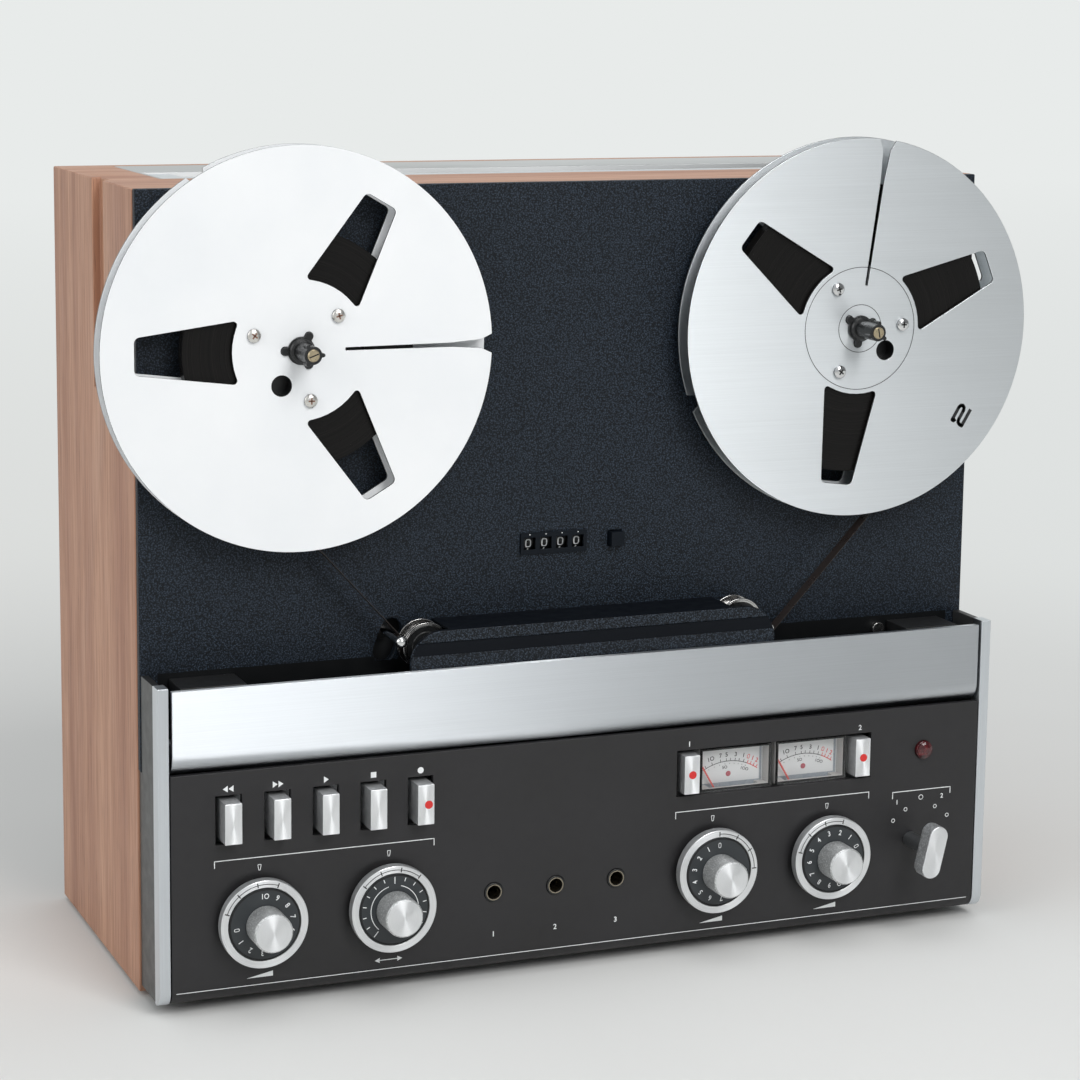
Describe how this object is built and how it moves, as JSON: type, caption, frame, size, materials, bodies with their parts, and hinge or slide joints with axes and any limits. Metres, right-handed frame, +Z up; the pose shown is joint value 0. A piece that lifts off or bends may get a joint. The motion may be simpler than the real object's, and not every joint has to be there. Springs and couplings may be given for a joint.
{
  "type": "reel-to-reel tape recorder",
  "caption": "Upright reel-to-reel tape recorder in a walnut case: turning reels, tape path under a head cover, a hinged flap, push keys, knobs and level meters that move.",
  "frame": {"origin": "middle of the box's underside, on the plane the feet stand on", "axes": "+X to the right as seen by the user in front, +Y to the back, +Z up"},
  "size_m": [0.452, 0.207, 0.38],
  "materials": {
    "walnut": "satin oiled walnut veneer with fine upright grain",
    "black_deck": "black leather-grain coat on an aluminium plate",
    "anthracite": "satin anthracite coat on an aluminium plate",
    "black_plastic": "black moulded plastic, fine matt grain",
    "foot_rubber": "black rubber",
    "pinch_rubber": "ground black rubber",
    "tray_aluminium": "pressed aluminium sheet, satin",
    "bright_aluminium": "brushed and anodised aluminium",
    "plated_steel": "zinc plated sheet steel",
    "head_metal": "machined head shells and plate",
    "motor_paint": "grey painted motor cans",
    "polished_steel": "polished plated steel",
    "arm_steel": "plated steel",
    "spindle_black": "black anodised spindle with rotor",
    "reel_white": "pale satin aluminium",
    "reel_grey": "straight brushed aluminium",
    "tape_brown": "dark brown oxide-coated film",
    "meter_white": "off-white meter case and scale",
    "meter_glass": "clear window",
    "needle_red": "red lacquer",
    "lamp_red": "dark red translucent cap",
    "board_green": "circuit boards, transformer and switch bodies"
  },
  "bodies": {
    "recorder": {"wood_case": "walnut", "rear_cover": "black_plastic", "rear_sockets": "polished_steel", "case_feet": "foot_rubber", "handle_tray": "tray_aluminium", "chassis_frame": "plated_steel", "deck_plate": "black_deck", "front_housing": "black_plastic", "control_panel": "anthracite", "trim_rails": "bright_aluminium", "head_cover": "black_plastic", "head_block": "head_metal", "motors": "motor_paint", "counter_frame": "black_plastic", "tape": "tape_brown", "control_bracket": "plated_steel", "meter_cases": "meter_white", "meter_glasses": "meter_glass", "jacks": "black_plastic", "power_lamp": "lamp_red", "electronics": "board_green"},
    "left_reel": {"left_spindle": "spindle_black", "left_reel_front": "reel_white", "left_reel_back": "reel_white", "left_tape_pack": "tape_brown"},
    "right_reel": {"right_spindle": "spindle_black", "right_reel_front": "reel_grey", "right_reel_back": "reel_grey", "right_tape_pack": "tape_brown"},
    "carry_handle": {"carry_handle": "bright_aluminium"},
    "flap": {"flap": "bright_aluminium"},
    "capstan": {"capstan": "polished_steel"},
    "pinch_arm": {"pinch_arm": "arm_steel"},
    "pinch_roller": {"pinch_roller": "pinch_rubber"},
    "left_roller": {"left_roller": "polished_steel"},
    "right_roller": {"right_roller": "polished_steel"},
    "tension_arm": {"tension_arm": "polished_steel"},
    "counter_units": {"counter_units": "black_plastic"},
    "counter_decades": {"counter_decades": "black_plastic"},
    "counter_reset": {"counter_reset": "black_plastic"},
    "needle_one": {"needle_one": "needle_red"},
    "needle_two": {"needle_two": "needle_red"},
    "volume_knob": {"volume_knob": "bright_aluminium"},
    "balance_knob": {"balance_knob": "bright_aluminium"},
    "level_knob_one": {"level_knob_one": "bright_aluminium"},
    "level_knob_two": {"level_knob_two": "bright_aluminium"},
    "mode_ring": {"mode_ring": "bright_aluminium"},
    "input_ring": {"input_ring": "bright_aluminium"},
    "source_ring_one": {"source_ring_one": "bright_aluminium"},
    "source_ring_two": {"source_ring_two": "bright_aluminium"},
    "power_knob": {"power_knob": "bright_aluminium"},
    "speaker_switch": {"speaker_switch": "black_plastic"},
    "reel_motor_switch": {"reel_motor_switch": "black_plastic"},
    "key_rewind": {"key_rewind": "bright_aluminium"},
    "key_forward": {"key_forward": "bright_aluminium"},
    "key_play": {"key_play": "bright_aluminium"},
    "key_stop": {"key_stop": "bright_aluminium"},
    "key_record": {"key_record": "bright_aluminium"},
    "record_key_one": {"record_key_one": "bright_aluminium"},
    "record_key_two": {"record_key_two": "bright_aluminium"}
  },
  "joints": [
    {"name": "handle_lift", "type": "hinge", "parent": "recorder", "child": "carry_handle", "pos_m": [0, 0.045, 0.356], "axis": [-1, 0, 0], "range_deg": [0, 90]},
    {"name": "flap_open", "type": "hinge", "parent": "recorder", "child": "flap", "pos_m": [0, -0.0681, 0.1185], "axis": [1, 0, 0], "range_deg": [0, 75]},
    {"name": "left_reel_spin", "type": "hinge", "parent": "recorder", "child": "left_reel", "pos_m": [-0.137, -0.0595, 0.291], "axis": [0, -1, 0], "continuous": true},
    {"name": "right_reel_spin", "type": "hinge", "parent": "recorder", "child": "right_reel", "pos_m": [0.137, -0.0595, 0.291], "axis": [0, -1, 0], "continuous": true},
    {"name": "left_roller_spin", "type": "hinge", "parent": "recorder", "child": "left_roller", "pos_m": [-0.078, -0.0595, 0.1547], "axis": [0, -1, 0], "continuous": true},
    {"name": "right_roller_spin", "type": "hinge", "parent": "recorder", "child": "right_roller", "pos_m": [0.0785, -0.0595, 0.1547], "axis": [0, -1, 0], "continuous": true},
    {"name": "capstan_spin", "type": "hinge", "parent": "recorder", "child": "capstan", "pos_m": [0.044, -0.0595, 0.1492], "axis": [0, -1, 0], "continuous": true},
    {"name": "pinch_arm_swing", "type": "hinge", "parent": "recorder", "child": "pinch_arm", "pos_m": [0.092, -0.0595, 0.1294], "axis": [0, 1, 0], "range_deg": [0, 5.3], "stiffness_Nm_per_rad": 0.3, "springref_deg": -5.73},
    {"name": "pinch_roller_spin", "type": "hinge", "parent": "pinch_arm", "child": "pinch_roller", "pos_m": [0.044, -0.0595, 0.1309], "axis": [0, -1, 0], "continuous": true},
    {"name": "tension_arm_swing", "type": "hinge", "parent": "recorder", "child": "tension_arm", "pos_m": [-0.1318, -0.0415, 0.1539], "axis": [0, 1, 0], "range_deg": [0, 14], "stiffness_Nm_per_rad": 0.5, "springref_deg": -5.73},
    {"name": "counter_units_spin", "type": "hinge", "parent": "recorder", "child": "counter_units", "pos_m": [0.0014, -0.0383, 0.1954], "axis": [1, 0, 0], "continuous": true},
    {"name": "counter_decades_spin", "type": "hinge", "parent": "recorder", "child": "counter_decades", "pos_m": [-0.0146, -0.0383, 0.1954], "axis": [1, 0, 0], "continuous": true},
    {"name": "counter_reset_press", "type": "slide", "parent": "recorder", "child": "counter_reset", "axis": [0, 1, 0], "range_m": [0, 0.003], "stiffness_N_per_m": 200, "springref_m": -0.002},
    {"name": "key_rewind_press", "type": "slide", "parent": "recorder", "child": "key_rewind", "axis": [0, 1, 0], "range_m": [0, 0.004], "stiffness_N_per_m": 250, "springref_m": -0.002},
    {"name": "key_forward_press", "type": "slide", "parent": "recorder", "child": "key_forward", "axis": [0, 1, 0], "range_m": [0, 0.004], "stiffness_N_per_m": 250, "springref_m": -0.002},
    {"name": "key_play_press", "type": "slide", "parent": "recorder", "child": "key_play", "axis": [0, 1, 0], "range_m": [0, 0.004], "stiffness_N_per_m": 250, "springref_m": -0.002},
    {"name": "key_stop_press", "type": "slide", "parent": "recorder", "child": "key_stop", "axis": [0, 1, 0], "range_m": [0, 0.004], "stiffness_N_per_m": 250, "springref_m": -0.002},
    {"name": "key_record_press", "type": "slide", "parent": "recorder", "child": "key_record", "axis": [0, 1, 0], "range_m": [0, 0.004], "stiffness_N_per_m": 250, "springref_m": -0.002},
    {"name": "record_key_one_release", "type": "slide", "parent": "recorder", "child": "record_key_one", "axis": [0, -1, 0], "range_m": [0, 0.004], "stiffness_N_per_m": 250, "springref_m": -0.002},
    {"name": "record_key_two_release", "type": "slide", "parent": "recorder", "child": "record_key_two", "axis": [0, -1, 0], "range_m": [0, 0.004], "stiffness_N_per_m": 250, "springref_m": -0.002},
    {"name": "needle_one_swing", "type": "hinge", "parent": "recorder", "child": "needle_one", "pos_m": [0.0718, -0.0715, 0.0623], "axis": [0, 1, 0], "range_deg": [0, 62], "stiffness_Nm_per_rad": 0.0001, "springref_deg": -5.73},
    {"name": "needle_two_swing", "type": "hinge", "parent": "recorder", "child": "needle_two", "pos_m": [0.1112, -0.0715, 0.0623], "axis": [0, 1, 0], "range_deg": [0, 62], "stiffness_Nm_per_rad": 0.0001, "springref_deg": -5.73},
    {"name": "volume_knob_turn", "type": "hinge", "parent": "recorder", "child": "volume_knob", "pos_m": [-0.1606, -0.08, 0.0413], "axis": [0, 1, 0], "range_deg": [-265, 0]},
    {"name": "balance_knob_turn", "type": "hinge", "parent": "recorder", "child": "balance_knob", "pos_m": [-0.1005, -0.08, 0.0413], "axis": [0, 1, 0], "range_deg": [-140, 140]},
    {"name": "level_knob_one_turn", "type": "hinge", "parent": "recorder", "child": "level_knob_one", "pos_m": [0.0596, -0.08, 0.0413], "axis": [0, 1, 0], "range_deg": [0, 265]},
    {"name": "level_knob_two_turn", "type": "hinge", "parent": "recorder", "child": "level_knob_two", "pos_m": [0.1196, -0.08, 0.0413], "axis": [0, 1, 0], "range_deg": [-70, 195]},
    {"name": "mode_ring_turn", "type": "hinge", "parent": "recorder", "child": "mode_ring", "pos_m": [-0.1606, -0.08, 0.0413], "axis": [0, 1, 0], "range_deg": [-30, 60]},
    {"name": "input_ring_turn", "type": "hinge", "parent": "recorder", "child": "input_ring", "pos_m": [-0.1005, -0.08, 0.0413], "axis": [0, 1, 0], "range_deg": [-60, 30]},
    {"name": "source_ring_one_turn", "type": "hinge", "parent": "recorder", "child": "source_ring_one", "pos_m": [0.0596, -0.08, 0.0413], "axis": [0, 1, 0], "range_deg": [-30, 60]},
    {"name": "source_ring_two_turn", "type": "hinge", "parent": "recorder", "child": "source_ring_two", "pos_m": [0.1196, -0.08, 0.0413], "axis": [0, 1, 0], "range_deg": [-30, 60]},
    {"name": "power_knob_turn", "type": "hinge", "parent": "recorder", "child": "power_knob", "pos_m": [0.1648, -0.08, 0.0443], "axis": [0, 1, 0], "range_deg": [-26, 52]},
    {"name": "speaker_switch_slide", "type": "slide", "parent": "recorder", "child": "speaker_switch", "axis": [1, 0, 0], "range_m": [0, 0.006]},
    {"name": "reel_motor_switch_slide", "type": "slide", "parent": "recorder", "child": "reel_motor_switch", "axis": [1, 0, 0], "range_m": [0, 0.006]}
  ],
  "couplings": [
    {"joint": "right_reel_spin", "follows": "left_reel_spin", "ratio": 0.7721},
    {"joint": "left_roller_spin", "follows": "left_reel_spin", "ratio": 6.5625},
    {"joint": "right_roller_spin", "follows": "left_reel_spin", "ratio": 6.5625},
    {"joint": "counter_units_spin", "follows": "left_reel_spin", "ratio": 0.1},
    {"joint": "counter_decades_spin", "follows": "left_reel_spin", "ratio": 0.01}
  ]
}
